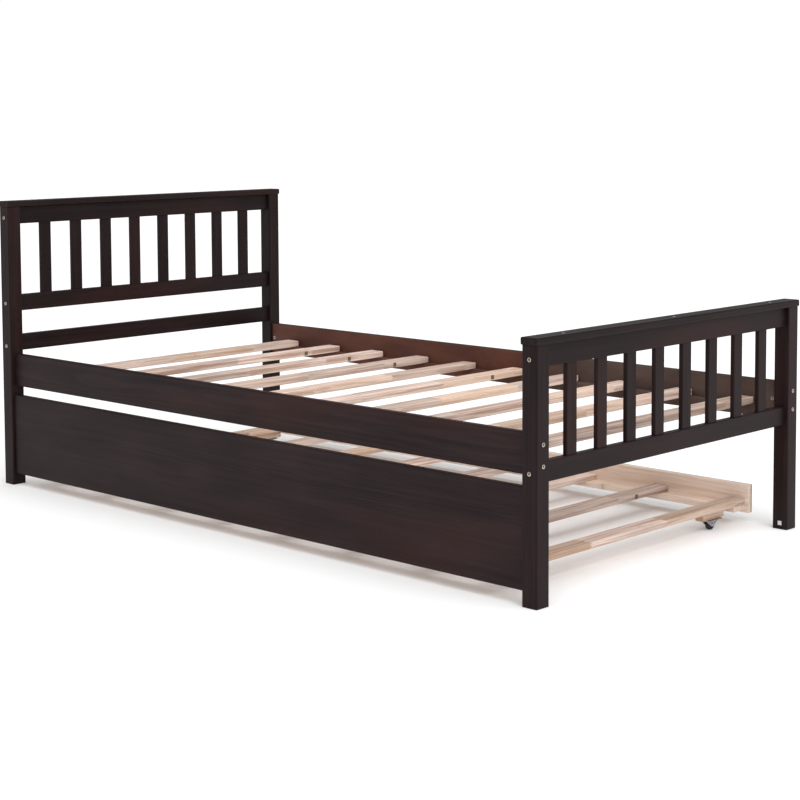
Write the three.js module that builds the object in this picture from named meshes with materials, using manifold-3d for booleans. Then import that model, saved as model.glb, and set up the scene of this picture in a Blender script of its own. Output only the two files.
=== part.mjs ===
// Twin bed with a slatted deck and a roll-out trundle frame under it, in millimetres.
// +X runs from the headboard to the footboard, the trundle rolls out towards -Y, and +Z is up.
// The origin is on the floor, in the middle of the bed.
import * as THREE from "three";
import { mergeVertices } from "three/addons/utils/BufferGeometryUtils.js";
import Module from "manifold-3d";

const wasm = await Module();
wasm.setup();

// Overall sizes
const BED_LENGTH = 2010; // over the outer faces of the posts
const BED_WIDTH = 1060;
const HEAD_HEIGHT = 829;
const FOOT_HEIGHT = 595;

// Head and foot boards
const POST_SIZE = 43;
const CAP_THICKNESS = 17;
const CAP_OVERHANG = 2;
const CROSS_RAIL_THICKNESS = 20;
const TOP_RAIL_HEIGHT = 50;
const CROSS_RAIL_HEIGHT = 47;
const HEAD_RAIL_SPACE = 69.5; // between the headboard's two lower rails
const BALUSTER_COUNT = 8;
const BALUSTER_WIDTH = 37;
const BALUSTER_THICKNESS = 12;
const BALUSTER_SHOWING = 207.5; // length between the rails
const BALUSTER_TENON = 10;
const BALUSTER_END_SPACE = 80; // from the post to the nearest baluster

// Side rails and the bed's slats
const SIDE_RAIL_THICKNESS = 18;
const SIDE_RAIL_RECESS = 16; // behind the outer faces of the posts
const SIDE_RAIL_BOTTOM = 290;
const SIDE_RAIL_HEIGHT = 94;
const LEDGER_WIDTH = 22;
const LEDGER_HEIGHT = 29;
const LEDGER_END_SPACE = 42; // from the post to the ledger's end
const BED_SLAT_COUNT = 10;
const BED_SLAT_WIDTH = 50;
const BED_SLAT_THICKNESS = 18;
const BED_SLAT_FIRST = 98; // from the post to the middle of the outermost slat
const BED_SLAT_SHIFT = 12; // the loose slats lie this much nearer to the foot
const BED_SLAT_END_SPACE = 8; // from a slat's end to the side rail

// Trundle frame
const PANEL_THICKNESS = 18;
const PANEL_RECESS = 8;
const PANEL_HEIGHT = 232;
const PANEL_END_SPACE = 3;
const BACK_RAIL_THICKNESS = 18;
const BACK_RAIL_HEIGHT = 75;
const BACK_RAIL_DROP = 7; // how far it hangs below its ledger
const BACK_RAIL_RECESS = 22; // behind the outer faces of the posts
const BACK_RAIL_END_SPACE = 76; // from the post to the rail's end
const TRUNDLE_LEDGER_WIDTH = 45;
const TRUNDLE_LEDGER_HEIGHT = 15;
const TRUNDLE_LEDGER_END_SPACE = 13.5; // from the back rail's end to the ledger's end
const TRUNDLE_SLAT_COUNT = 8;
const TRUNDLE_SLAT_WIDTH = 50;
const TRUNDLE_SLAT_THICKNESS = 16;
const TRUNDLE_SLAT_FIRST = 111.5; // from the post to the middle of the outermost slat

// Casters
const WHEEL_RADIUS = 12;
const WHEEL_WIDTH = 13;
const WHEEL_EDGE_ROUND = 2;
const AXLE_RADIUS = 2.5;
const AXLE_CLEARANCE = 0.08;
const FORK_PLATE_LENGTH = 62;
const FORK_PLATE_WIDTH = 38;
const FORK_PLATE_THICKNESS = 2;
const FORK_TOP_SPACE = 2; // between the wheel and the plate
const FORK_LEG_THICKNESS = 1.5;
const FORK_SIDE_SPACE = 1; // between the wheel and each leg
const FORK_LEG_FOOT = 4; // half the leg's width at its lower end
const FORK_LEG_SHOULDER = 2; // from the plate's end to the leg's upper end
const FORK_LEG_DROP = 3.5; // how far the leg reaches below the axle
const AXLE_HEAD = 1.5; // how far the riveted axle shows past each leg
const BLOCK_LENGTH = 95;
const BLOCK_WIDTH = 24;
const BLOCK_HEIGHT = 20; // from the fork's plate to the slat
const CASTER_END_SPACE = 125; // from the panel and from the back rail to the nearest axle

// Shared clearances and edges
const REST_GAP = 0.3; // between pieces that touch
const TENON_GAP = 0.3;
const GLUE_OVERLAP = 4; // how far a glued piece runs into its neighbour, past the chamfers
const BROAD_CHAMFER = 2;
const SLIM_CHAMFER = 1.5;

const ESPRESSO = { color: 0x2e2120, roughness: 0.42, metalness: 0 };
const PINE = { color: 0xd9b99b, roughness: 0.62, metalness: 0 };
const STEEL = { color: 0x9a9c9e, roughness: 0.35, metalness: 1 };
const BLACK_PLASTIC = { color: 0x141414, roughness: 0.45, metalness: 0 };

// The solid made by a closed geometry.
function solidOf(geometry) {
  const bare = geometry.clone();
  bare.deleteAttribute("normal");
  bare.deleteAttribute("uv");
  const merged = mergeVertices(bare, 1e-4);
  return new wasm.Manifold(
    new wasm.Mesh({
      numProp: 3,
      vertProperties: merged.attributes.position.array,
      triVerts: new Uint32Array(merged.index.array),
    }),
  );
}

function geometryOf(solid) {
  const mesh = solid.getMesh();
  const geometry = new THREE.BufferGeometry();
  geometry.setAttribute("position", new THREE.BufferAttribute(mesh.vertProperties, 3));
  geometry.setIndex(new THREE.BufferAttribute(mesh.triVerts, 1));
  const flat = geometry.toNonIndexed();
  flat.computeVertexNormals();
  return flat;
}

// A rectangle with its four corners cut off, around the origin.
function chamferedRectangle(width, height, chamfer) {
  const w = width / 2;
  const h = height / 2;
  return new THREE.Shape([
    new THREE.Vector2(-w + chamfer, -h),
    new THREE.Vector2(w - chamfer, -h),
    new THREE.Vector2(w, -h + chamfer),
    new THREE.Vector2(w, h - chamfer),
    new THREE.Vector2(w - chamfer, h),
    new THREE.Vector2(-w + chamfer, h),
    new THREE.Vector2(-w, h - chamfer),
    new THREE.Vector2(-w, -h + chamfer),
  ]);
}

const AXES = [new THREE.Vector3(1, 0, 0), new THREE.Vector3(0, 1, 0), new THREE.Vector3(0, 0, 1)];

// A board from its low to its high corner, with chamfers along its grain, the longest way.
function board(low, high, chamfer = SLIM_CHAMFER) {
  const size = low.map((value, i) => high[i] - value);
  const grain = size.indexOf(Math.max(...size));
  const across = (grain + 1) % 3;
  const up = (grain + 2) % 3;
  const shape = chamferedRectangle(size[across], size[up], chamfer);
  const geometry = new THREE.ExtrudeGeometry(shape, { depth: size[grain], bevelEnabled: false });
  geometry.translate(0, 0, -size[grain] / 2);
  geometry.applyMatrix4(new THREE.Matrix4().makeBasis(AXES[across], AXES[up], AXES[grain]));
  geometry.translate(...low.map((value, i) => (value + high[i]) / 2));
  return geometry;
}

function box(low, high) {
  const geometry = new THREE.BoxGeometry(...low.map((value, i) => high[i] - value));
  geometry.translate(...low.map((value, i) => (value + high[i]) / 2));
  return geometry;
}

// The centres of count pieces, pitch apart, about the middle.
function row(count, pitch, middle = 0) {
  return Array.from({ length: count }, (_, i) => middle + (i - (count - 1) / 2) * pitch);
}

const bed = new THREE.Group();
bed.name = "trundle_bed";

function add(name, geometry, look) {
  const mesh = new THREE.Mesh(geometry, new THREE.MeshStandardMaterial(look));
  mesh.name = name;
  bed.add(mesh);
}

// Positions shared by the pieces
const halfLength = BED_LENGTH / 2;
const halfWidth = BED_WIDTH / 2;
const postInnerX = halfLength - POST_SIZE;
const postInnerY = halfWidth - POST_SIZE;
const crossRailInset = (POST_SIZE - CROSS_RAIL_THICKNESS) / 2;
const balusterPitch = (2 * (postInnerY - BALUSTER_END_SPACE) - BALUSTER_WIDTH) / (BALUSTER_COUNT - 1);
const balusterCentres = row(BALUSTER_COUNT, balusterPitch);

// One end of the bed: two posts, a cap over them, the cross rails and the balusters.
// side is -1 at the head and 1 at the foot.
function endBoard(prefix, side, height, lowerRails) {
  const outer = side * halfLength;
  const inner = side * postInnerX;
  const postX = [Math.min(outer, inner), Math.max(outer, inner)];
  const railX = [postX[0] + crossRailInset, postX[1] - crossRailInset];
  const capBottom = height - CAP_THICKNESS;
  const postTop = capBottom - REST_GAP;

  const postPlaces = { front: [-halfWidth, -postInnerY], back: [postInnerY, halfWidth] };
  for (const [place, postY] of Object.entries(postPlaces)) {
    const post = board([postX[0], postY[0], 0], [postX[1], postY[1], postTop], BROAD_CHAMFER);
    add(prefix + "_post_" + place, post, ESPRESSO);
  }

  const capLow = [postX[0] - CAP_OVERHANG, -halfWidth - CAP_OVERHANG, capBottom];
  const capHigh = [postX[1] + CAP_OVERHANG, halfWidth + CAP_OVERHANG, height];
  add(prefix + "_cap", board(capLow, capHigh, BROAD_CHAMFER), ESPRESSO);

  const railEnd = postInnerY - REST_GAP;
  const topRailBottom = capBottom - TOP_RAIL_HEIGHT;
  const seatTop = topRailBottom - BALUSTER_SHOWING;
  const middleX = (postX[0] + postX[1]) / 2;

  // A cross rail, with a mortise for each baluster in its lower or upper face.
  function crossRail(bottom, top, mortiseLow, mortiseHigh) {
    const plain = board([railX[0], -railEnd, bottom], [railX[1], railEnd, top]);
    if (mortiseLow === undefined) return plain;
    const halfX = BALUSTER_THICKNESS / 2 + TENON_GAP;
    const halfY = BALUSTER_WIDTH / 2 + TENON_GAP;
    let rail = solidOf(plain);
    for (const y of balusterCentres) {
      const low = [middleX - halfX, y - halfY, mortiseLow];
      const high = [middleX + halfX, y + halfY, mortiseHigh];
      rail = rail.subtract(solidOf(box(low, high)));
    }
    return geometryOf(rail);
  }

  const depth = BALUSTER_TENON + TENON_GAP;
  const topRail = crossRail(topRailBottom, postTop, topRailBottom - 1, topRailBottom + depth);
  add(prefix + "_top_rail", topRail, ESPRESSO);
  const seat = crossRail(seatTop - CROSS_RAIL_HEIGHT, seatTop, seatTop - depth, seatTop + 1);
  add(prefix + "_" + lowerRails.seat, seat, ESPRESSO);
  if (lowerRails.extra) {
    const extraTop = seatTop - CROSS_RAIL_HEIGHT - HEAD_RAIL_SPACE;
    add(prefix + "_" + lowerRails.extra, crossRail(extraTop - CROSS_RAIL_HEIGHT, extraTop), ESPRESSO);
  }

  balusterCentres.forEach((y, i) => {
    const low = [middleX - BALUSTER_THICKNESS / 2, y - BALUSTER_WIDTH / 2, seatTop - BALUSTER_TENON];
    const high = [middleX + BALUSTER_THICKNESS / 2, y + BALUSTER_WIDTH / 2, topRailBottom + BALUSTER_TENON];
    add(prefix + "_baluster_" + (i + 1), board(low, high, SLIM_CHAMFER), ESPRESSO);
  });
}

endBoard("head", -1, HEAD_HEIGHT, { seat: "middle_rail", extra: "lower_rail" });
endBoard("foot", 1, FOOT_HEIGHT, { seat: "lower_rail" });

// Side rails, and the ledgers along their inner faces that carry the slats
const sideRailOuter = halfWidth - SIDE_RAIL_RECESS;
const sideRailInner = sideRailOuter - SIDE_RAIL_THICKNESS;
const sideRailEnd = postInnerX - REST_GAP;
const ledgerOuter = sideRailInner - REST_GAP;
const ledgerTop = SIDE_RAIL_BOTTOM + LEDGER_HEIGHT;
const ledgerEnd = postInnerX - LEDGER_END_SPACE;

for (const [place, side] of [["front", -1], ["back", 1]]) {
  const railY = [side * sideRailInner, side * sideRailOuter].sort((a, b) => a - b);
  const railLow = [-sideRailEnd, railY[0], SIDE_RAIL_BOTTOM];
  const railHigh = [sideRailEnd, railY[1], SIDE_RAIL_BOTTOM + SIDE_RAIL_HEIGHT];
  add("side_rail_" + place, board(railLow, railHigh, BROAD_CHAMFER), ESPRESSO);

  const ledgerY = [side * ledgerOuter, side * (ledgerOuter - LEDGER_WIDTH)].sort((a, b) => a - b);
  const ledgerLow = [-ledgerEnd, ledgerY[0], SIDE_RAIL_BOTTOM];
  const ledgerHigh = [ledgerEnd, ledgerY[1], ledgerTop];
  add("slat_ledger_" + place, board(ledgerLow, ledgerHigh), ESPRESSO);
}

const bedSlatBottom = ledgerTop + REST_GAP;
const bedSlatEnd = sideRailInner - BED_SLAT_END_SPACE;
const bedSlatPitch = (2 * (postInnerX - BED_SLAT_FIRST)) / (BED_SLAT_COUNT - 1);
row(BED_SLAT_COUNT, bedSlatPitch, BED_SLAT_SHIFT).forEach((x, i) => {
  const low = [x - BED_SLAT_WIDTH / 2, -bedSlatEnd, bedSlatBottom];
  const high = [x + BED_SLAT_WIDTH / 2, bedSlatEnd, bedSlatBottom + BED_SLAT_THICKNESS];
  add("bed_slat_" + (i + 1), board(low, high), PINE);
});

// The trundle stands on its casters, so its heights follow from the wheels up.
const forkPlateBottom = 2 * WHEEL_RADIUS + FORK_TOP_SPACE;
const forkPlateTop = forkPlateBottom + FORK_PLATE_THICKNESS;
const blockBottom = forkPlateTop + REST_GAP;
const trundleSlatBottom = blockBottom + BLOCK_HEIGHT;
const trundleLedgerTop = trundleSlatBottom - REST_GAP;
const trundleLedgerBottom = trundleLedgerTop - TRUNDLE_LEDGER_HEIGHT;

// Trundle frame: the panel and the back rail each carry a ledger glued along the inner face.
const panelOuter = -halfWidth + PANEL_RECESS;
const panelInner = panelOuter + PANEL_THICKNESS;
const panelEnd = postInnerX - PANEL_END_SPACE;
const backOuter = halfWidth - BACK_RAIL_RECESS;
const backInner = backOuter - BACK_RAIL_THICKNESS;
const backEnd = postInnerX - BACK_RAIL_END_SPACE;
const backBottom = trundleLedgerBottom - BACK_RAIL_DROP;

function withLedger(plain, outerY, innerY) {
  const end = backEnd - TRUNDLE_LEDGER_END_SPACE;
  const yLow = Math.min(outerY, innerY);
  const yHigh = Math.max(outerY, innerY);
  const ledger = box([-end, yLow, trundleLedgerBottom], [end, yHigh, trundleLedgerTop]);
  return geometryOf(solidOf(plain).add(solidOf(ledger)));
}

const panelLow = [-panelEnd, panelOuter, trundleLedgerBottom];
const panelHigh = [panelEnd, panelInner, trundleLedgerBottom + PANEL_HEIGHT];
const panel = board(panelLow, panelHigh, BROAD_CHAMFER);
const panelGlue = panelInner - GLUE_OVERLAP;
add("trundle_panel", withLedger(panel, panelGlue, panelInner + TRUNDLE_LEDGER_WIDTH), ESPRESSO);

const backLow = [-backEnd, backInner, backBottom];
const backHigh = [backEnd, backOuter, backBottom + BACK_RAIL_HEIGHT];
const backRail = board(backLow, backHigh);
const backGlue = backInner + GLUE_OVERLAP;
add("trundle_back_rail", withLedger(backRail, backGlue, backInner - TRUNDLE_LEDGER_WIDTH), PINE);

// Caster places, under the first and the last slat
const trundleSlatPitch = (2 * (postInnerX - TRUNDLE_SLAT_FIRST)) / (TRUNDLE_SLAT_COUNT - 1);
const trundleSlatCentres = row(TRUNDLE_SLAT_COUNT, trundleSlatPitch);
const casterYs = [panelInner + CASTER_END_SPACE, backInner - CASTER_END_SPACE];

trundleSlatCentres.forEach((x, i) => {
  const trundleSlatTop = trundleSlatBottom + TRUNDLE_SLAT_THICKNESS;
  const low = [x - TRUNDLE_SLAT_WIDTH / 2, panelInner + REST_GAP, trundleSlatBottom];
  const high = [x + TRUNDLE_SLAT_WIDTH / 2, backInner - REST_GAP, trundleSlatTop];
  const plain = board(low, high);
  const atEnd = i === 0 || i === TRUNDLE_SLAT_COUNT - 1;
  if (!atEnd) {
    add("trundle_slat_" + (i + 1), plain, PINE);
    return;
  }
  // An end slat has a block glued under it for each caster.
  let slat = solidOf(plain);
  for (const y of casterYs) {
    const blockLow = [x - BLOCK_WIDTH / 2, y - BLOCK_LENGTH / 2, blockBottom];
    const blockHigh = [x + BLOCK_WIDTH / 2, y + BLOCK_LENGTH / 2, trundleSlatBottom + GLUE_OVERLAP];
    slat = slat.add(solidOf(box(blockLow, blockHigh)));
  }
  add("trundle_slat_" + (i + 1), geometryOf(slat), PINE);
});

// A caster's fork: a plate with two tapering legs and the axle riveted through them.
function forkGeometry(x, y) {
  const plateLow = [x - FORK_PLATE_WIDTH / 2, y - FORK_PLATE_LENGTH / 2, forkPlateBottom];
  const plateHigh = [x + FORK_PLATE_WIDTH / 2, y + FORK_PLATE_LENGTH / 2, forkPlateTop];
  let fork = solidOf(box(plateLow, plateHigh));

  const legInner = WHEEL_WIDTH / 2 + FORK_SIDE_SPACE;
  const legBottom = WHEEL_RADIUS - FORK_LEG_DROP;
  const legTop = forkPlateBottom + FORK_PLATE_THICKNESS / 2;
  const legShoulder = FORK_PLATE_LENGTH / 2 - FORK_LEG_SHOULDER;
  const legShape = new THREE.Shape([
    new THREE.Vector2(-FORK_LEG_FOOT, legBottom),
    new THREE.Vector2(FORK_LEG_FOOT, legBottom),
    new THREE.Vector2(legShoulder, legTop),
    new THREE.Vector2(-legShoulder, legTop),
  ]);
  for (const start of [-legInner - FORK_LEG_THICKNESS, legInner]) {
    const leg = new THREE.ExtrudeGeometry(legShape, { depth: FORK_LEG_THICKNESS, bevelEnabled: false });
    leg.applyMatrix4(new THREE.Matrix4().makeBasis(AXES[1], AXES[2], AXES[0]));
    leg.translate(x + start, y, 0);
    fork = fork.add(solidOf(leg));
  }

  const axleLength = 2 * (legInner + FORK_LEG_THICKNESS + AXLE_HEAD);
  const axle = new THREE.CylinderGeometry(AXLE_RADIUS, AXLE_RADIUS, axleLength, 20);
  axle.rotateZ(Math.PI / 2);
  axle.translate(x, y, WHEEL_RADIUS);
  return geometryOf(fork.add(solidOf(axle)));
}

function wheelGeometry(x, y) {
  const bore = AXLE_RADIUS + AXLE_CLEARANCE;
  const half = WHEEL_WIDTH / 2;
  const round = WHEEL_EDGE_ROUND;
  const profile = [
    [bore, -half],
    [WHEEL_RADIUS - round, -half],
    [WHEEL_RADIUS - round * 0.29, -half + round * 0.29],
    [WHEEL_RADIUS, -half + round],
    [WHEEL_RADIUS, half - round],
    [WHEEL_RADIUS - round * 0.29, half - round * 0.29],
    [WHEEL_RADIUS - round, half],
    [bore, half],
    [bore, -half],
  ].map(([radius, along]) => new THREE.Vector2(radius, along));
  const wheel = new THREE.LatheGeometry(profile, 40);
  wheel.rotateZ(Math.PI / 2);
  // A vertex of the rim points straight down, so the wheel just meets the floor.
  wheel.translate(x, y, WHEEL_RADIUS);
  return geometryOf(solidOf(wheel));
}

const casterXs = [trundleSlatCentres[0], trundleSlatCentres[TRUNDLE_SLAT_COUNT - 1]];
let casterNumber = 0;
for (const x of casterXs) {
  for (const y of casterYs) {
    casterNumber += 1;
    add("caster_fork_" + casterNumber, forkGeometry(x, y), STEEL);
    add("caster_wheel_" + casterNumber, wheelGeometry(x, y), BLACK_PLASTIC);
  }
}

export default bed;
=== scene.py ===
"""Twin bed in espresso and pine, with a slatted trundle frame that rolls out from under it."""

import math
import random

import bmesh
import bpy
from mathutils import Matrix, Vector


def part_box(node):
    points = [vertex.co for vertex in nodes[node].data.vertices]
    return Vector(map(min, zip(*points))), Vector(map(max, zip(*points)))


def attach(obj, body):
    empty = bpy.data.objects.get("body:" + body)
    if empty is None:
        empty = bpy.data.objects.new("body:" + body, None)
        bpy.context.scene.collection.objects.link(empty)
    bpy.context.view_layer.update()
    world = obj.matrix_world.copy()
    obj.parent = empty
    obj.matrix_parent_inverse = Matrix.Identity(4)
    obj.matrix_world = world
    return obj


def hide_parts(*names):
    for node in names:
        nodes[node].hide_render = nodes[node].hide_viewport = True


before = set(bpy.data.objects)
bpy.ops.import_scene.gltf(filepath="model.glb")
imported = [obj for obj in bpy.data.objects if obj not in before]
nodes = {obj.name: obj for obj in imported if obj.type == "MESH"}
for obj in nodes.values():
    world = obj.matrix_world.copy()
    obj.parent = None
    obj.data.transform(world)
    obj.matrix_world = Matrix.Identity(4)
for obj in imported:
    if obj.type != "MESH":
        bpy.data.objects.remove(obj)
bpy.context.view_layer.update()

MM = 0.001
scene = bpy.context.scene
scene.view_settings.view_transform = "Standard"
scene.view_settings.look = "None"

# ---------------------------------------------------------------- camera

CAMERA_PLACE = (3.4349, -3.5107, 1.0810)
CAMERA_YAW = 0.8105  # from the -X axis towards +Y
CAMERA_PITCH = -0.0766
CAMERA_ROLL = -0.0048
CAMERA_LENS = 80.95  # millimetres, on a 36 mm sensor
CAMERA_SHIFT = -0.1875


def make_camera():
    ahead = Vector(
        (
            -math.cos(CAMERA_YAW) * math.cos(CAMERA_PITCH),
            math.sin(CAMERA_YAW) * math.cos(CAMERA_PITCH),
            math.sin(CAMERA_PITCH),
        )
    )
    level = Vector((math.sin(CAMERA_YAW), math.cos(CAMERA_YAW), 0))
    up = level.cross(ahead)
    right = math.cos(CAMERA_ROLL) * level + math.sin(CAMERA_ROLL) * up
    up = math.cos(CAMERA_ROLL) * up - math.sin(CAMERA_ROLL) * level
    data = bpy.data.cameras.new("camera")
    data.sensor_width = 36
    data.lens = CAMERA_LENS
    data.shift_y = CAMERA_SHIFT
    data.clip_end = 200
    camera = bpy.data.objects.new("camera", data)
    turn = Matrix((right, up, -ahead)).transposed().to_4x4()
    camera.matrix_world = Matrix.Translation(CAMERA_PLACE) @ turn
    scene.collection.objects.link(camera)
    scene.camera = camera


make_camera()

# ---------------------------------------------------------------- shader nodes


class Shader:
    """A new material, with short calls that add nodes to it and return their outputs."""

    def __init__(self, name):
        self.material = bpy.data.materials.new(name)
        self.material.use_nodes = True
        self.tree = self.material.node_tree
        self.tree.nodes.clear()

    def node(self, kind, inputs, output=0, **settings):
        made = self.tree.nodes.new("ShaderNode" + kind)
        for key, value in settings.items():
            setattr(made, key, value)
        for key, value in inputs.items():
            if isinstance(value, bpy.types.NodeSocket):
                self.tree.links.new(value, made.inputs[key])
            else:
                made.inputs[key].default_value = value
        return made.outputs[output]

    def math(self, operation, a, b=0.0, clamp=False):
        return self.node("Math", {0: a, 1: b}, operation=operation, use_clamp=clamp)

    def add(self, a, b):
        return self.math("ADD", a, b)

    def times(self, a, b):
        return self.math("MULTIPLY", a, b)

    def step(self, value, start, end, low=0.0, high=1.0):
        """low where value is under start, high where it is over end, and smooth between them."""
        inputs = {"Value": value, "From Min": start, "From Max": end, "To Min": low, "To Max": high}
        return self.node("MapRange", inputs, interpolation_type="SMOOTHSTEP")

    def mix(self, share, a, b):
        return self.node("Mix", {0: share, 6: a, 7: b}, output=2, data_type="RGBA")

    def shade(self, colour, factor):
        """The colour made darker or lighter by a factor."""
        return self.node("VectorMath", {0: colour, 3: factor}, operation="SCALE")

    def split(self, vector):
        made = self.tree.nodes.new("ShaderNodeSeparateXYZ")
        self.tree.links.new(vector, made.inputs[0])
        return list(made.outputs)

    def join(self, x, y, z):
        return self.node("CombineXYZ", {0: x, 1: y, 2: z})

    def stretched(self, place, along, across):
        """place scaled by along down the grain, and by across in both other directions."""
        scale = (along, across, across)
        return self.node("VectorMath", {0: place, 1: scale}, operation="MULTIPLY")

    def noise(self, place, detail=2.0, roughness=0.5, output=0):
        inputs = {"Vector": place, "Scale": 1.0, "Detail": detail, "Roughness": roughness}
        return self.node("TexNoise", inputs, output=output)

    def random(self, number, output=0):
        return self.node("TexWhiteNoise", {"W": number}, output=output, noise_dimensions="1D")

    def finish(self, colour, roughness, height=None, depth=0.0, **values):
        """Ends the material in one Principled shader. height runs from 0 to 1 over a depth in metres."""
        inputs = {"Base Color": colour, "Roughness": roughness}
        if height is not None:
            inputs["Normal"] = self.node("Bump", {"Height": height, "Distance": depth, "Strength": 1.0})
        inputs.update({key.replace("_", " "): value for key, value in values.items()})
        surface = self.node("BsdfPrincipled", inputs)
        output = self.tree.nodes.new("ShaderNodeOutputMaterial")
        self.tree.links.new(surface, output.inputs["Surface"])
        return self.material


# ---------------------------------------------------------------- wood

# A piece's object colour holds a point on the pith of the tree that it was sawn from, moved by
# PITH_SHIFT because a colour can't be negative. Its alpha is a random number of the piece's own.
PITH_SHIFT = 10.0

ESPRESSO_DARK = (0.0120, 0.0064, 0.0068, 1)
ESPRESSO_LIGHT = (0.0300, 0.0172, 0.0182, 1)
ESPRESSO_RED = (0.0560, 0.0180, 0.0130, 1)
# Lighter colour for the edges: partly stain rubbed thin, partly a painted highlight.
ESPRESSO_WORN_EDGE_AND_HIGHLIGHT = (0.1050, 0.0400, 0.0260, 1)
ESPRESSO_INSIDE = (0.1320, 0.0540, 0.0380, 1)  # the side rails' inner faces
ESPRESSO_INSIDE_FOOT = (0.1120, 0.0740, 0.0620, 1)
END_BOARD_TONE = 0.76  # the end boards are darker than the side rails and the trundle's panel

PINE_LIGHT = (0.820, 0.660, 0.580, 1)
PINE_STREAK = (0.450, 0.295, 0.225, 1)
PINE_GREY = (0.500, 0.425, 0.385, 1)
PINE_KNOT = (0.150, 0.075, 0.040, 1)
PINE_WARM = (0.680, 0.450, 0.280, 1)
# A pale pine, painted light: it lightens the trundle's bare pine, which sits in shade under the bed.
PINE_PAINTED_LIGHT = (0.880, 0.730, 0.600, 1)
PAINTED_LIGHT_SHARE = 0.5  # of the pale pine, painted light, in the bare side of a two-tone piece

# Metres
PINE_RING_SPACING = 0.0042
PINE_RING_WANDER = 0.010
ESPRESSO_RING_SPACING = 0.0050
ESPRESSO_RING_WANDER = 0.009
FINGER_LENGTH = 0.010
FINGER_WIDTH = 0.004
FINGER_JOINT_PITCH = 0.31
SEGMENT_STRAY = (0.3, 0.05, 0.05)  # how far apart neighbouring segments were in their trees
KNOT_PITCH = 0.15
KNOT_CORE = 0.0035
KNOT_RIM = 0.0075
KNOT_REACH = 0.034  # the rings bend round a knot up to here
KNOT_BEND = 0.012
# Width of the band along the edges that takes the rubbed stain and the painted highlight; also the width
# of the fade at the rails' inner faces.
EDGE_BAND_WIDTH = 0.0025
GRAIN_DEPTH = 0.00025
LACQUERED_DEPTH = 0.00010

ESPRESSO_FINISH = {"Specular_IOR_Level": 0.10}
PINE_FINISH = {"Specular_IOR_Level": 0.30}


def grain_place(shader, axis):
    """(coordinates from the pith, with the grain's axis first, in metres; the piece's random number)"""
    info = shader.tree.nodes.new("ShaderNodeObjectInfo")
    spot = shader.node("TexCoord", {}, output="Object")
    shifted = {0: info.outputs["Color"], 1: (PITH_SHIFT,) * 3}
    pith = shader.node("VectorMath", shifted, operation="SUBTRACT")
    place = shader.node("VectorMath", {0: spot, 1: pith}, operation="SUBTRACT")
    along = shader.split(place)
    return shader.join(along[axis], along[(axis + 1) % 3], along[(axis + 2) % 3]), info.outputs["Alpha"]


def rings(shader, place, spacing, spread, wander):
    """How late in its year the wood grew, from 0 to 1. wander is how far the rings stray, in metres."""
    drift = shader.noise(shader.stretched(place, 1.6, 9.0), detail=2.0, output=1)
    drift = shader.node("VectorMath", {0: drift, 1: (0.5, 0.5, 0.5)}, operation="SUBTRACT")
    drift = shader.node("VectorMath", {0: drift, 3: 2 * wander}, operation="SCALE")
    moved = shader.node("VectorMath", {0: place, 1: drift}, operation="ADD")
    across = shader.node("VectorMath", {0: moved, 1: (0.0, 1.0, 1.0)}, operation="MULTIPLY")
    radius = shader.node("VectorMath", {0: across}, output=1, operation="LENGTH")
    year = shader.math("FRACT", shader.math("DIVIDE", shader.add(radius, spread), spacing))
    late = shader.step(year, 0.35, 0.9)
    return shader.times(late, shader.step(year, 0.92, 1.0, 1.0, 0.0))


def finger_joints(shader, place, seed):
    """Cuts a board into segments of other trees, joined by fingers.

    Returns (coordinates in each segment's own tree, its lightness, its warmth, the glue line).
    """
    u, v, _ = shader.split(place)
    zigzag = shader.math("PINGPONG", v, FINGER_WIDTH)
    zigzag = shader.times(zigzag, FINGER_LENGTH / FINGER_WIDTH)
    segment = shader.math("DIVIDE", shader.add(u, zigzag), FINGER_JOINT_PITCH)
    segment = shader.add(segment, shader.times(seed, 7.0))
    number = shader.add(shader.math("FLOOR", segment), shader.times(seed, 91.0))
    gap = shader.math("ABSOLUTE", shader.math("SUBTRACT", shader.math("FRACT", segment), 0.5))
    joint = shader.step(gap, 0.4965, 0.4995)
    tone = shader.step(shader.random(number), 0.0, 1.0, 0.78, 1.05)
    warm = shader.step(shader.random(shader.add(number, 0.71)), 0.45, 1.0, 0.0, 0.40)
    stray = {0: shader.random(shader.add(number, 0.37), output=1), 1: SEGMENT_STRAY}
    stray = shader.node("VectorMath", stray, operation="MULTIPLY")
    return shader.node("VectorMath", {0: place, 1: stray}, operation="ADD"), tone, warm, joint


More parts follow.
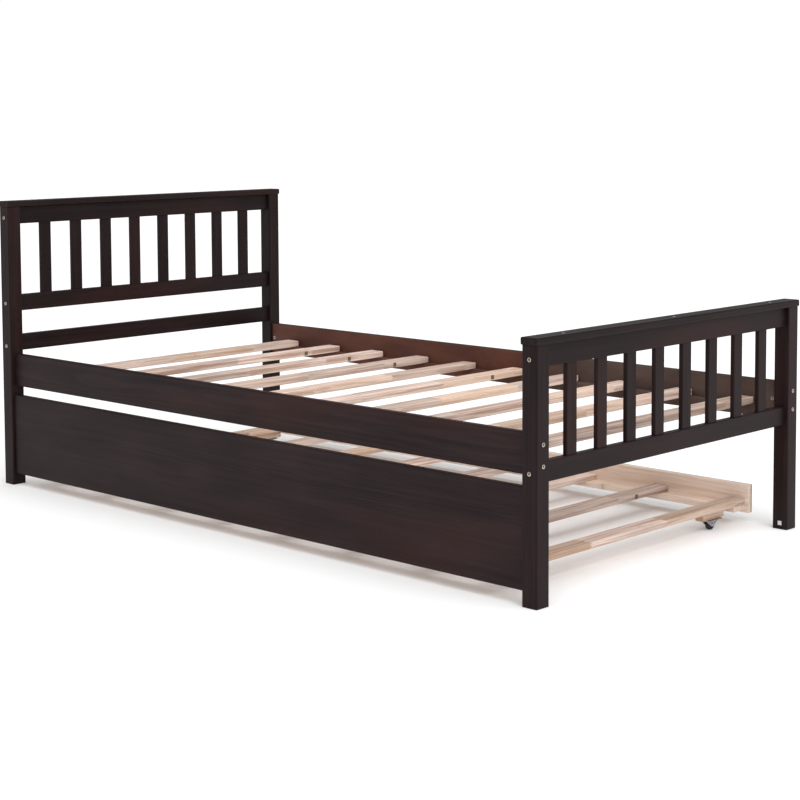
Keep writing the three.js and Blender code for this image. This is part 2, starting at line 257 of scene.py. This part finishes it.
def pine(shader, axis, place, seed, jointed):
    """(colour, roughness, height) of bare planed pine."""
    if jointed:
        place, tone, warm, joint = finger_joints(shader, place, seed)

    # Knots, and the rings that bend round them
    u, v, w = shader.split(place)
    field = shader.join(u, v, shader.times(w, 0.2))
    knot_inputs = {"Vector": field, "Scale": 1 / KNOT_PITCH, "Randomness": 1.0}
    away = shader.times(shader.node("TexVoronoi", knot_inputs), KNOT_PITCH)
    halo = shader.step(away, 0.0, KNOT_REACH, 1.0, 0.0)
    knot = shader.step(away, KNOT_CORE, KNOT_RIM, 1.0, 0.0)

    bend = shader.times(halo, KNOT_BEND)
    late = rings(shader, place, PINE_RING_SPACING, bend, PINE_RING_WANDER)
    streak = shader.noise(shader.stretched(place, 3.0, 95.0), detail=3.0, roughness=0.6)
    fibre = shader.noise(shader.stretched(place, 14.0, 900.0), detail=2.0)
    patch = shader.noise(shader.stretched(place, 2.2, 16.0), detail=2.0)

    dark = shader.times(late, 0.40)
    dark = shader.add(dark, shader.step(streak, 0.42, 0.68, 0.0, 0.90))
    dark = shader.add(dark, shader.step(fibre, 0.45, 0.85, 0.0, 0.45))
    dark = shader.math("ADD", dark, shader.times(halo, 0.35), clamp=True)
    colour = shader.mix(dark, PINE_LIGHT, PINE_STREAK)
    colour = shader.mix(shader.step(patch, 0.50, 0.78, 0.0, 0.65), colour, PINE_GREY)
    colour = shader.mix(shader.times(knot, 0.8), colour, PINE_KNOT)
    if jointed:
        colour = shader.mix(warm, colour, PINE_WARM)
        colour = shader.shade(colour, tone)
        colour = shader.mix(shader.times(joint, 0.45), colour, PINE_STREAK)

    # End grain is darker. No piece turns, so the world's axes are the piece's own.
    facing_end = shader.split(shader.node("NewGeometry", {}, output="True Normal"))[axis]
    cut = shader.step(shader.math("ABSOLUTE", facing_end), 0.80, 0.95)
    colour = shader.mix(shader.times(cut, 0.60), colour, PINE_STREAK)

    roughness = shader.step(streak, 0.3, 0.8, 0.55, 0.72)
    height = shader.add(shader.times(fibre, 0.45), shader.times(late, 0.35))
    if jointed:
        height = shader.math("SUBTRACT", height, shader.times(joint, 0.3))
    return colour, roughness, height


def espresso(shader, place, seed):
    """(colour, roughness, height) of pine under a near-black stain and a satin lacquer."""
    first_year = shader.times(seed, 0.003)
    late = rings(shader, place, ESPRESSO_RING_SPACING, first_year, ESPRESSO_RING_WANDER)
    streak = shader.noise(shader.stretched(place, 2.6, 75.0), detail=3.0, roughness=0.6)
    fibre = shader.noise(shader.stretched(place, 16.0, 1000.0), detail=2.0)
    cloud = shader.noise(shader.stretched(place, 3.5, 9.0), detail=2.0)
    light = shader.times(late, 0.30)
    light = shader.add(light, shader.step(streak, 0.35, 0.75, 0.0, 0.55))
    light = shader.math("ADD", light, shader.step(cloud, 0.3, 0.8, 0.0, 0.40), clamp=True)
    colour = shader.mix(light, ESPRESSO_DARK, ESPRESSO_LIGHT)
    pores = shader.step(fibre, 0.58, 0.74, 0.0, 0.55)
    colour = shader.mix(pores, colour, ESPRESSO_DARK)
    reddish = shader.noise(shader.stretched(place, 1.1, 5.0))
    colour = shader.mix(shader.step(reddish, 0.5, 0.75, 0.0, 0.35), colour, ESPRESSO_RED)

    # The stain is rubbed thin along the edges, and the lighter colour there is partly a painted
    # highlight.
    flat = shader.node("NewGeometry", {}, output="True Normal")
    soft = shader.node("Bevel", {"Radius": EDGE_BAND_WIDTH}, samples=4)
    along = shader.node("VectorMath", {0: flat, 1: soft}, output=1, operation="DOT_PRODUCT")
    near_edge = shader.step(along, 0.80, 0.97, 1.0, 0.0)
    patchy = shader.noise(shader.stretched(place, 14.0, 60.0), detail=3.0)
    wear_and_highlight = shader.times(near_edge, shader.step(patchy, 0.40, 0.70, 0.05, 0.60))
    colour = shader.mix(wear_and_highlight, colour, ESPRESSO_WORN_EDGE_AND_HIGHLIGHT)

    roughness = shader.step(streak, 0.3, 0.75, 0.36, 0.48)
    roughness = shader.add(roughness, shader.times(wear_and_highlight, 0.10))
    height = shader.add(shader.times(fibre, 0.5), shader.times(late, 0.25))
    return colour, roughness, height


def espresso_material(name, axis):
    shader = Shader(name)
    colour, roughness, height = espresso(shader, *grain_place(shader, axis))
    colour = shader.shade(colour, END_BOARD_TONE)
    return shader.finish(colour, roughness, height, LACQUERED_DEPTH, **ESPRESSO_FINISH)


def thin_inside_material(name, axis, inner):
    """Espresso whose stain is thinner inside the bed, up to Y = +-inner, and redder on the head half."""
    shader = Shader(name)
    place, seed = grain_place(shader, axis)
    colour, roughness, height = espresso(shader, place, seed)
    x, y, _ = shader.split(shader.node("TexCoord", {}, output="Object"))
    inside = shader.step(shader.math("ABSOLUTE", y), inner, inner + EDGE_BAND_WIDTH, 1.0, 0.0)
    uneven = shader.noise(shader.stretched(place, 5.0, 14.0), detail=3.0)
    share = shader.times(inside, shader.step(uneven, 0.30, 0.70, 0.55, 0.95))
    tint = shader.mix(shader.step(x, 0.10, 0.30), ESPRESSO_INSIDE, ESPRESSO_INSIDE_FOOT)
    colour = shader.mix(share, colour, tint)
    return shader.finish(colour, roughness, height, LACQUERED_DEPTH, **ESPRESSO_FINISH)


def pine_material(name, axis, jointed):
    shader = Shader(name)
    colour, roughness, height = pine(shader, axis, *grain_place(shader, axis), jointed)
    return shader.finish(colour, roughness, height, GRAIN_DEPTH, **PINE_FINISH)


def two_tone_material(name, axis, start, end):
    """Pine that turns to espresso where Y goes from start to end."""
    shader = Shader(name)
    place, seed = grain_place(shader, axis)
    bare = pine(shader, axis, place, seed, False)
    # The bare pine is made paler here: painted light that lifts the shade under the bed.
    bare = (shader.mix(PAINTED_LIGHT_SHARE, bare[0], PINE_PAINTED_LIGHT), *bare[1:])
    stained = espresso(shader, place, seed)
    y = shader.split(shader.node("TexCoord", {}, output="Object"))[1]
    share = shader.node("MapRange", {"Value": y, "From Min": start, "From Max": end})
    colour = shader.mix(share, bare[0], stained[0])
    roughness = shader.node("Mix", {0: share, 2: bare[1], 3: stained[1]})
    height = shader.node("Mix", {0: share, 2: bare[2], 3: stained[2]})
    return shader.finish(colour, roughness, height, LACQUERED_DEPTH, **ESPRESSO_FINISH)


# ---------------------------------------------------------------- metal, plastic and paper

SCRATCH_DEPTH = 0.00002
PLASTIC_GRAIN_DEPTH = 0.00003


def metal_material(name, light, dark, roughness):
    """Plated steel with fine scratches and dull spots."""
    shader = Shader(name)
    spot = shader.node("TexCoord", {}, output="Object")
    scratches = shader.noise(shader.stretched(spot, 120.0, 2600.0), detail=2.0)
    dull = shader.noise(shader.stretched(spot, 140.0, 140.0), detail=3.0)
    share = shader.step(dull, 0.38, 0.72)
    colour = shader.mix(share, light, dark)
    scratched = shader.step(scratches, 0.3, 0.7, roughness, roughness + 0.12)
    rough = shader.add(shader.times(share, 0.18), scratched)
    return shader.finish(colour, rough, scratches, SCRATCH_DEPTH, Metallic=1.0)


def plastic_material(name, colour, dusty):
    """Moulded plastic with a fine grain and some dust."""
    shader = Shader(name)
    spot = shader.node("TexCoord", {}, output="Object")
    grain = shader.noise(shader.stretched(spot, 1800.0, 1800.0), detail=2.0)
    dust = shader.noise(shader.stretched(spot, 160.0, 160.0), detail=4.0, roughness=0.65)
    share = shader.step(dust, 0.50, 0.78, 0.0, 0.45)
    tint = shader.mix(share, colour, dusty)
    rough = shader.add(shader.times(share, 0.25), shader.step(grain, 0.3, 0.7, 0.38, 0.46))
    return shader.finish(tint, rough, grain, PLASTIC_GRAIN_DEPTH)


espresso_along = [espresso_material("espresso_" + "xyz"[axis], axis) for axis in range(3)]
pine_along_y = pine_material("pine_y", 1, True)
zinc = metal_material("zinc", (0.60, 0.60, 0.60, 1), (0.36, 0.36, 0.37, 1), 0.28)
dull_zinc = metal_material("dull_zinc", (0.42, 0.42, 0.43, 1), (0.24, 0.24, 0.25, 1), 0.36)
yellow_zinc = metal_material("yellow_zinc", (0.60, 0.54, 0.45, 1), (0.38, 0.33, 0.27, 1), 0.28)
black_plastic = plastic_material("black_plastic", (0.008, 0.008, 0.009, 1), (0.030, 0.028, 0.026, 1))
plug_plastic = plastic_material("brown_plastic", (0.130, 0.080, 0.058, 1), (0.220, 0.150, 0.115, 1))
paper = plastic_material("white_paper", (0.60, 0.60, 0.59, 1), (0.48, 0.47, 0.46, 1))

# ---------------------------------------------------------------- CAD nodes

BEVEL = 0.8 * MM
FINE_BEVEL = 0.25 * MM
SHARP_ANGLE = math.radians(28)
FLAT_ANGLE = math.radians(1)
WELD_DISTANCE = 0.01 * MM

# How far the middle of a piece can be from the pith of its tree, across and along the grain
PITH_NEAR = 25 * MM
PITH_FAR = 85 * MM
ALONG_THE_TREE = 1500 * MM

dice = random.Random(7)


def sow_pith(node, axis):
    """Puts the tree's pith at a random place beside the piece, so that every piece has its own rings."""
    low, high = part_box(node)
    pith = (low + high) / 2
    turn = dice.uniform(0, 2 * math.pi)
    distance = dice.uniform(PITH_NEAR, PITH_FAR)
    pith[(axis + 1) % 3] += distance * math.cos(turn)
    pith[(axis + 2) % 3] += distance * math.sin(turn)
    pith[axis] += dice.uniform(-ALONG_THE_TREE, ALONG_THE_TREE)
    shifted = [value + PITH_SHIFT for value in pith]
    nodes[node].color = (*shifted, dice.random())


def soften(node, width):
    """Rounds a CAD node's edges. Its faces are packed with corners of their own, so these are welded."""
    weld = nodes[node].modifiers.new("weld", "WELD")
    weld.merge_threshold = WELD_DISTANCE
    merge = nodes[node].modifiers.new("merge_flat_faces", "DECIMATE")
    merge.decimate_type = "DISSOLVE"
    merge.angle_limit = FLAT_ANGLE
    bevel = nodes[node].modifiers.new("bevel", "BEVEL")
    bevel.width = width
    bevel.segments = 2
    bevel.limit_method = "ANGLE"
    bevel.angle_limit = SHARP_ANGLE


def paint(node, material):
    for slot in nodes[node].material_slots:
        slot.link = "OBJECT"
        slot.material = material


def grain_axis(node):
    low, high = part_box(node)
    size = list(high - low)
    return size.index(max(size))


# The panel is bare on its inner face and on the ledger there, and stained elsewhere. The back rail
# is stained on its outer face, and over its edges as far as BACK_STAIN_DEPTH.
PANEL_STAIN_BLUR = 1 * MM
BACK_STAIN_DEPTH = 4.2 * MM
BACK_STAIN_BLUR = 0.8 * MM

rail_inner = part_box("side_rail_back")[0].y
panel_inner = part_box("trundle_slat_2")[0].y
back_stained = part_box("trundle_back_rail")[1].y - BACK_STAIN_DEPTH
rail_wood = thin_inside_material("espresso_rail", 0, rail_inner)
panel_wood = two_tone_material("panel_and_ledger", 0, panel_inner, panel_inner - PANEL_STAIN_BLUR)
back_wood = two_tone_material("back_rail_and_ledger", 0, back_stained - BACK_STAIN_BLUR, back_stained)

SPECIAL_WOOD = {
    "slat_ledger_front": rail_wood,
    "slat_ledger_back": rail_wood,
    "side_rail_front": rail_wood,
    "side_rail_back": rail_wood,
    "trundle_panel": panel_wood,
    "trundle_back_rail": back_wood,
}

for node in sorted(nodes):
    if node.startswith("caster_"):
        if "fork" in node:
            paint(node, dull_zinc)
            soften(node, FINE_BEVEL)
        continue
    axis = grain_axis(node)
    sow_pith(node, axis)
    if "_slat_" in node:
        paint(node, pine_along_y)
    else:
        paint(node, SPECIAL_WOOD.get(node, espresso_along[axis]))
    soften(node, BEVEL)

# ---------------------------------------------------------------- turned pieces

RING_POINTS = 36


def hexagon(width):
    """How far a hexagon's edge is from its middle at each ring point, for its width over the flats."""
    angles = [2 * math.pi * i / RING_POINTS for i in range(RING_POINTS)]
    return [width / 2 / math.cos((a % (math.pi / 3)) - math.pi / 6) for a in angles]


def turned(mesh, profile, place, close_end=True):
    """Adds rings of (radius or list of radii, height) to the mesh, set where the matrix place puts them.

    The ends are closed by flat faces, or else joined to each other, for a profile that is a closed loop.
    """
    loops = []
    for radius, height in profile:
        radii = radius if isinstance(radius, list) else [radius] * RING_POINTS
        loop = []
        for i, r in enumerate(radii):
            angle = 2 * math.pi * i / RING_POINTS
            corner = Vector((r * math.cos(angle), r * math.sin(angle), height))
            loop.append(mesh.verts.new(place @ corner))
        loops.append(loop)
    for low, high in zip(loops, loops[1:]):
        for i in range(RING_POINTS):
            j = (i + 1) % RING_POINTS
            mesh.faces.new((low[i], low[j], high[j], high[i])).smooth = True
    if close_end:
        mesh.faces.new(loops[0][::-1])
        mesh.faces.new(loops[-1])
    else:
        for i in range(RING_POINTS):
            j = (i + 1) % RING_POINTS
            mesh.faces.new((loops[-1][i], loops[-1][j], loops[0][j], loops[0][i])).smooth = True


def facing(point, direction):
    """The matrix that carries a piece made round +Z to a point, looking along a direction."""
    turn = Vector(direction).to_track_quat("Z", "Y").to_matrix().to_4x4()
    return Matrix.Translation(point) @ turn


def piece(name, mesh, material, body):
    """Makes a visible piece of a mesh, which rides on a body."""
    bmesh.ops.recalc_face_normals(mesh, faces=mesh.faces)
    data = bpy.data.meshes.new(name)
    mesh.to_mesh(data)
    mesh.free()
    data.materials.append(material)
    data.set_sharp_from_angle(angle=SHARP_ANGLE)
    made = bpy.data.objects.new(name, data)
    scene.collection.objects.link(made)
    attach(made, body)
    return made


# Profiles are lists of (radius, height over the face that the fastener sits on). The sockets of
# bolts and nuts are open right down to that face.
SOCKET_RIM = hexagon(5.2 * MM)
SOCKET = hexagon(4.8 * MM)
BOLT_HEAD = [
    (5.2 * MM, -0.5 * MM),
    (5.2 * MM, 0.7 * MM),
    (5.0 * MM, 1.1 * MM),
    (4.5 * MM, 1.4 * MM),
    (3.2 * MM, 1.6 * MM),
    (SOCKET_RIM, 1.6 * MM),
    (SOCKET, 1.3 * MM),
    (SOCKET, -0.4 * MM),
]
BARREL_NUT = [
    (5.0 * MM, -0.5 * MM),
    (5.0 * MM, 0.4 * MM),
    (4.7 * MM, 0.7 * MM),
    (SOCKET_RIM, 0.7 * MM),
    (SOCKET, 0.5 * MM),
    (SOCKET, -0.4 * MM),
]
CAP_SCREW = [
    (4.0 * MM, -0.5 * MM),
    (4.0 * MM, 0.3 * MM),
    (3.6 * MM, 0.6 * MM),
    (hexagon(3.0 * MM), 0.7 * MM),
    (hexagon(2.6 * MM), 0.1 * MM),
]


def fasteners(name, profile, places, material, body):
    """One piece of many turned bodies, at (point, direction) places."""
    mesh = bmesh.new()
    for point, direction in places:
        turned(mesh, profile, facing(point, direction))
    piece(name, mesh, material, body)


def middle(node):
    low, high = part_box(node)
    return (low + high) / 2


TOP_BOLT_DROP = 6 * MM  # below the middle of the top rail
LOWER_BOLT_DROP = 8 * MM  # below the middle of the head board's lower rail
RAIL_BOLT_SPACING = 48 * MM
NUT_FROM_POST = 10 * MM
CAP_SCREWS_Y = (-0.420, 0, 0.420)
CAP_SCREW_INSET = 6 * MM  # from the cap's middle towards the outside

for end, outward, rails in (
    ("head", -1, ("head_middle_rail", "head_lower_rail")),
    ("foot", 1, ("foot_lower_rail",)),
):
    heights = [middle(end + "_top_rail").z - TOP_BOLT_DROP] + [middle(rail).z for rail in rails]
    if end == "head":
        heights[-1] -= LOWER_BOLT_DROP
    bolts = []
    nuts = []
    for place, side in (("front", -1), ("back", 1)):
        post = end + "_post_" + place
        low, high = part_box(post)
        outer_y = low.y if side < 0 else high.y
        outer_x = low.x if outward < 0 else high.x
        inner_x = high.x if outward < 0 else low.x
        centre = middle(post)
        for z in heights:
            bolts.append(((centre.x, outer_y, z), (0, side, 0)))
        rail = middle("side_rail_" + place)
        for z in (rail.z - RAIL_BOLT_SPACING / 2, rail.z + RAIL_BOLT_SPACING / 2):
            bolts.append(((outer_x, centre.y, z), (outward, 0, 0)))
        nuts.append(((inner_x - outward * NUT_FROM_POST, side * rail_inner, rail.z), (0, -side, 0)))
    fasteners(end + "_bolts", BOLT_HEAD, bolts, yellow_zinc, "bed")
    fasteners(end + "_barrel_nuts", BARREL_NUT, nuts, zinc, "bed")
    cap_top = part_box(end + "_cap")[1].z
    cap_x = middle(end + "_cap").x + outward * CAP_SCREW_INSET
    screws = [((cap_x, y, cap_top), (0, 0, 1)) for y in CAP_SCREWS_Y]
    fasteners(end + "_cap_screws", CAP_SCREW, screws, zinc, "bed")

# ---------------------------------------------------------------- slat plugs

PLUG_WIDTH = 13 * MM
PLUG_HEIGHT = 12 * MM
PLUG_SUNK = 0.5 * MM
PLUG_PROUD = 0.5 * MM
PLUG_EDGE = 0.6 * MM
BED_PLUG_FROM_END = 148 * MM
TRUNDLE_PLUG_FROM_END = 144 * MM


def plug(mesh, point):
    """A square plug with eased edges, in a face that looks along +X."""
    loops = []
    for out, inset in ((-PLUG_SUNK, 0), (PLUG_PROUD - PLUG_EDGE / 2, 0), (PLUG_PROUD, PLUG_EDGE)):
        y = PLUG_WIDTH / 2 - inset
        z = PLUG_HEIGHT / 2 - inset
        corners = ((out, -y, -z), (out, y, -z), (out, y, z), (out, -y, z))
        loops.append([mesh.verts.new(Vector(point) + Vector(corner)) for corner in corners])
    for low, high in zip(loops, loops[1:]):
        for i in range(4):
            mesh.faces.new((low[i], low[(i + 1) % 4], high[(i + 1) % 4], high[i]))
    mesh.faces.new(loops[0][::-1])
    mesh.faces.new(loops[-1])


def slat_plugs(name, slats, from_end, body):
    """A plug near each end of each slat, in its side that looks towards the foot board."""
    mesh = bmesh.new()
    for slat in slats:
        low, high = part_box(slat)
        for y in (low.y + from_end, high.y - from_end):
            plug(mesh, (high.x, y, (low.z + high.z) / 2))
    piece(name, mesh, plug_plastic, body)


plugged = [f"bed_slat_{number}" for number in (2, 3, 4, 6)]
slat_plugs("bed_slat_plugs", plugged, BED_PLUG_FROM_END, "bed")
slat_plugs("trundle_slat_plugs", ["trundle_slat_7"], TRUNDLE_PLUG_FROM_END, "trundle")

# ---------------------------------------------------------------- blank label low on a post

LABEL_WIDTH = 11 * MM
LABEL_HEIGHT = 11 * MM
LABEL_MIDDLE_Z = 16 * MM
LABEL_THICKNESS = 0.12 * MM


def label(post):
    """A small square of plain white paper on the post's face that looks along -Y."""
    low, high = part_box(post)
    mesh = bmesh.new()
    bmesh.ops.create_cube(mesh, size=1)
    size = (LABEL_WIDTH, 2 * LABEL_THICKNESS, LABEL_HEIGHT)
    bmesh.ops.scale(mesh, vec=size, verts=mesh.verts)
    bmesh.ops.translate(mesh, vec=((low.x + high.x) / 2, low.y, LABEL_MIDDLE_Z), verts=mesh.verts)
    piece("blank_label", mesh, paper, "bed")


label("foot_post_back")

# ---------------------------------------------------------------- casters

WHEEL_RIBS = 6
RIB_ENDS = (4.6 * MM, 8.6 * MM)  # from the axle
RIB_SIDES = (-0.5 * MM, 0.5 * MM)
RIB_SUNK = (2.3 * MM, 0.6 * MM)  # below the side of the wheel
BOX_FACES = ((0, 1, 3, 2), (4, 6, 7, 5), (0, 4, 5, 1), (2, 3, 7, 6), (0, 2, 6, 4), (1, 5, 7, 3))

PLATE_THICKNESS = 2 * MM
PLATE_SCREW_INSET = 5 * MM
PLATE_SCREW_REACH = 24 * MM
RIVET_REACH = 9 * MM

PLATE_SCREW = [
    (3.2 * MM, -0.3 * MM),
    (3.2 * MM, 0.5 * MM),
    (2.7 * MM, 1.2 * MM),
    (1.6 * MM, 1.6 * MM),
    (hexagon(2.0 * MM), 1.6 * MM),
    (hexagon(1.7 * MM), 0.8 * MM),
]
RIVET = [
    (3.4 * MM, -0.1 * MM),
    (3.3 * MM, 0.6 * MM),
    (2.8 * MM, 1.2 * MM),
    (1.8 * MM, 1.7 * MM),
    (0.6 * MM, 1.9 * MM),
]


def wheel_profile(radius, half):
    """A closed loop of (radius, place along the axle) for a wheel with a web sunk in on both sides."""
    side = [
        (2.6 * MM, half),
        (4.3 * MM, half),
        (4.8 * MM, half - 0.4 * MM),
        (5.0 * MM, half - 2.0 * MM),
        (8.0 * MM, half - 2.0 * MM),
        (8.3 * MM, half - 0.5 * MM),
        (8.7 * MM, half),
        (radius - 1.8 * MM, half),
        (radius - 0.9 * MM, half - 0.25 * MM),
        (radius - 0.25 * MM, half - 0.9 * MM),
        (radius, half - 2.0 * MM),
    ]
    return side + [(r, -along) for r, along in reversed(side)]


def rib(mesh, place, angle, half):
    """A rib on each side of the sunk web, from the hub to the rim."""
    turn = place @ Matrix.Rotation(angle, 4, "Z")
    for sign in (-1, 1):
        corners = [
            mesh.verts.new(turn @ Vector((x, y, sign * (half - sunk))))
            for x in RIB_ENDS
            for y in RIB_SIDES
            for sunk in RIB_SUNK
        ]
        for face in BOX_FACES:
            mesh.faces.new([corners[c] for c in face])


screw_places = []
rivet_places = []
for number in range(1, 5):
    node = f"caster_wheel_{number}"
    low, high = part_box(node)
    centre = (low + high) / 2
    half = (high.x - low.x) / 2
    place = facing(centre, (1, 0, 0))
    mesh = bmesh.new()
    turned(mesh, wheel_profile((high.z - low.z) / 2, half), place, close_end=False)
    for i in range(WHEEL_RIBS):
        rib(mesh, place, 2 * math.pi * i / WHEEL_RIBS, half)
    wheel = piece(f"wheel_{number}", mesh, black_plastic, node)
    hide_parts(node)

    fork_low, fork_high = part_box(f"caster_fork_{number}")
    for x in (-1, 1):
        tip = fork_high.x if x > 0 else fork_low.x
        rivet_places.append(((centre.x + x * RIVET_REACH, centre.y, centre.z), (x, 0, 0)))
        for y in (-1, 1):
            screw_x = tip - x * PLATE_SCREW_INSET
            screw_y = centre.y + y * PLATE_SCREW_REACH
            spot = (screw_x, screw_y, fork_high.z - PLATE_THICKNESS)
            screw_places.append((spot, (0, 0, -1)))

fasteners("caster_plate_screws", PLATE_SCREW, screw_places, zinc, "trundle")
fasteners("axle_rivets", RIVET, rivet_places, zinc, "trundle")

# ---------------------------------------------------------------- floor and light

FLOOR_RADIUS = 90
FLOOR_DROP = 0.2 * MM
FLOOR_DARK = (0.945, 0.945, 0.945, 1)
FLOOR_LIGHT = (0.960, 0.960, 0.960, 1)

# How bright the world is for diffuse light, for reflections and behind the object
AMBIENT = 0.78
REFLECTED = 0.40
BACKDROP = 1.02


def make_floor():
    shader = Shader("floor")
    spot = shader.node("TexCoord", {}, output="Object")
    cloud = shader.noise(shader.stretched(spot, 0.8, 0.8), detail=3.0)
    colour = shader.mix(shader.step(cloud, 0.3, 0.7), FLOOR_DARK, FLOOR_LIGHT)
    material = shader.finish(colour, 0.8, Specular_IOR_Level=0.0)
    mesh = bmesh.new()
    bmesh.ops.create_circle(mesh, cap_ends=True, segments=96, radius=FLOOR_RADIUS)
    data = bpy.data.meshes.new("floor")
    mesh.to_mesh(data)
    mesh.free()
    data.materials.append(material)
    floor = bpy.data.objects.new("floor", data)
    floor.location.z = -FLOOR_DROP
    scene.collection.objects.link(floor)


def area_light(name, place, target, size, power):
    data = bpy.data.lights.new(name, "AREA")
    data.shape = "RECTANGLE"
    data.size, data.size_y = size
    data.energy = power
    light = bpy.data.objects.new(name, data)
    light.location = place
    aim = Vector(target) - Vector(place)
    light.rotation_mode = "QUATERNION"
    light.rotation_quaternion = aim.to_track_quat("-Z", "Y")
    scene.collection.objects.link(light)


def make_world():
    """A white backdrop, which looks brighter to the camera than the light that it gives."""
    world = bpy.data.worlds.new("studio")
    world.use_nodes = True
    tree = world.node_tree
    background = tree.nodes["Background"]
    ray = tree.nodes.new("ShaderNodeLightPath").outputs
    strength = AMBIENT
    for kind, level in (("Is Glossy Ray", REFLECTED), ("Is Camera Ray", BACKDROP)):
        choice = tree.nodes.new("ShaderNodeMix")
        tree.links.new(ray[kind], choice.inputs[0])
        if isinstance(strength, float):
            choice.inputs[2].default_value = strength
        else:
            tree.links.new(strength, choice.inputs[2])
        choice.inputs[3].default_value = level
        strength = choice.outputs[0]
    tree.links.new(strength, background.inputs["Strength"])
    background.inputs["Color"].default_value = (1.0, 1.0, 1.0, 1)
    scene.world = world


def sky_light(name, direction, angle, strength):
    """Very soft light from one side of the sky, the same all over the floor."""
    data = bpy.data.lights.new(name, "SUN")
    data.energy = strength
    data.angle = angle
    light = bpy.data.objects.new(name, data)
    light.rotation_mode = "QUATERNION"
    light.rotation_quaternion = (-Vector(direction)).to_track_quat("-Z", "Y")
    scene.collection.objects.link(light)


make_floor()
make_world()
sky_light("sky", (0.5, -0.25, 1.0), math.radians(70), 1.5)
area_light("key", (3.4, -0.9, 3.0), (0.4, 0, 0.3), (2.2, 2.2), 30)
